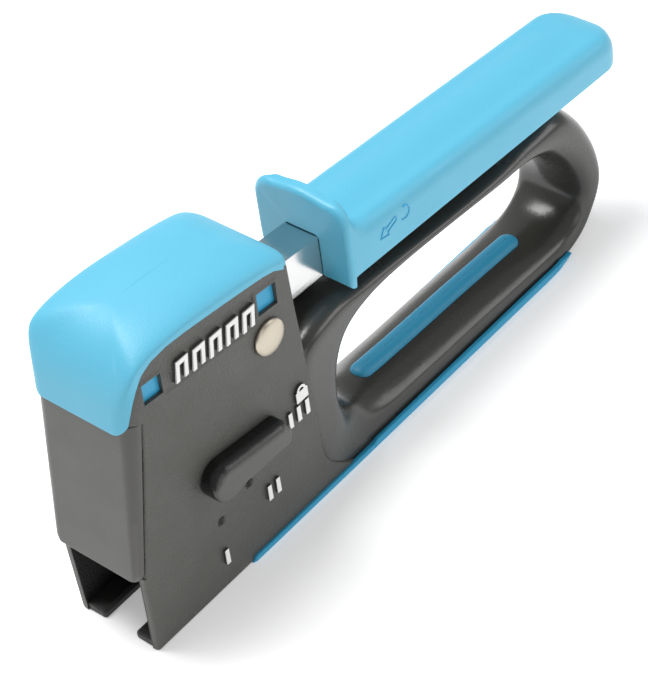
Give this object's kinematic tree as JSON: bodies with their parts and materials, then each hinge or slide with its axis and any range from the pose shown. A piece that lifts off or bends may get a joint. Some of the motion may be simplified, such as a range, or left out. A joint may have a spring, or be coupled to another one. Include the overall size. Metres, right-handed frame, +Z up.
{
  "type": "staple gun",
  "caption": "Hand staple gun with a squeeze handle over a looped grip, a domed head, an open nose, a turning power selector and a sliding magazine.",
  "frame": {"origin": "the staple outlet: on the centre plane at the nose edge, on the plane that the gun stands on", "axes": "+X from the nose towards the handle end, +Z up, +Y to the right side of the gun; the left side with the selector faces -Y"},
  "size_m": [0.2125, 0.0387, 0.0977],
  "materials": {
    "black_shell": "fine pebbled satin",
    "black_plate": "fine pebbled satin",
    "blue_cap": "soft-touch matte",
    "blue_trim": "soft-touch matte",
    "blue_grip": "soft-touch matte",
    "bright_steel": "polished along its length",
    "zinc_steel": "zinc plated",
    "spring_steel": "oiled",
    "staple_wire": "galvanised",
    "black_knob": "satin gloss",
    "white_signs": "hot-stamped faces",
    "bumper_rubber": "matt",
    "black_plastic": "satin"
  },
  "bodies": {
    "frame": {"left_shell": "black_shell", "right_shell": "black_shell", "front_plate": "black_plate", "top_cap": "blue_cap", "trim_strip_left": "blue_trim", "trim_strip_right": "blue_trim", "finger_pad": "blue_trim", "pivot_pin": "bright_steel", "shell_screws": "zinc_steel", "staple_emblem": "white_signs", "position_marks": "white_signs", "handle_return_spring": "spring_steel", "spring_seat": "zinc_steel", "plunger_bumper": "bumper_rubber"},
    "handle": {"lever_arm": "bright_steel", "lift_fork_left": "zinc_steel", "lift_fork_right": "zinc_steel", "fork_rivets": "zinc_steel", "pivot_bush": "zinc_steel", "handle_grip": "blue_grip"},
    "driver": {"plunger": "zinc_steel", "lift_pins": "zinc_steel", "driver_blade": "spring_steel", "blade_rivets": "zinc_steel", "main_spring": "spring_steel"},
    "selector": {"selector_knob": "black_knob", "selector_shaft": "zinc_steel", "power_cam": "zinc_steel", "cam_clip": "zinc_steel", "detent_ball": "zinc_steel", "detent_spring": "spring_steel"},
    "magazine": {"magazine_channel": "zinc_steel", "staple_rail": "zinc_steel", "nose_piece": "zinc_steel", "staple_stick": "staple_wire", "pusher_spring": "spring_steel", "magazine_end": "black_plastic"},
    "follower": {"follower": "zinc_steel"}
  },
  "joints": [
    {"name": "handle_squeeze", "type": "hinge", "parent": "frame", "child": "handle", "pos_m": [0.053, 0, 0.069], "axis": [0, -1, 0], "range_deg": [0, 28]},
    {"name": "driver_stroke", "type": "slide", "parent": "frame", "child": "driver", "axis": [0, 0, 1], "range_m": [-0.0155, 0], "deforming": ["main_spring"]},
    {"name": "power_selector", "type": "hinge", "parent": "frame", "child": "selector", "pos_m": [0.0285, 0, 0.041], "axis": [0, 1, 0], "range_deg": [0, 88]},
    {"name": "magazine_slide", "type": "slide", "parent": "frame", "child": "magazine", "axis": [-1, 0, 0], "range_m": [0, 0.02]},
    {"name": "staple_pusher", "type": "slide", "parent": "magazine", "child": "follower", "axis": [1, 0, 0], "range_m": [0, 0.0105], "stiffness_N_per_m": 40, "springref_m": -0.02}
  ]
}
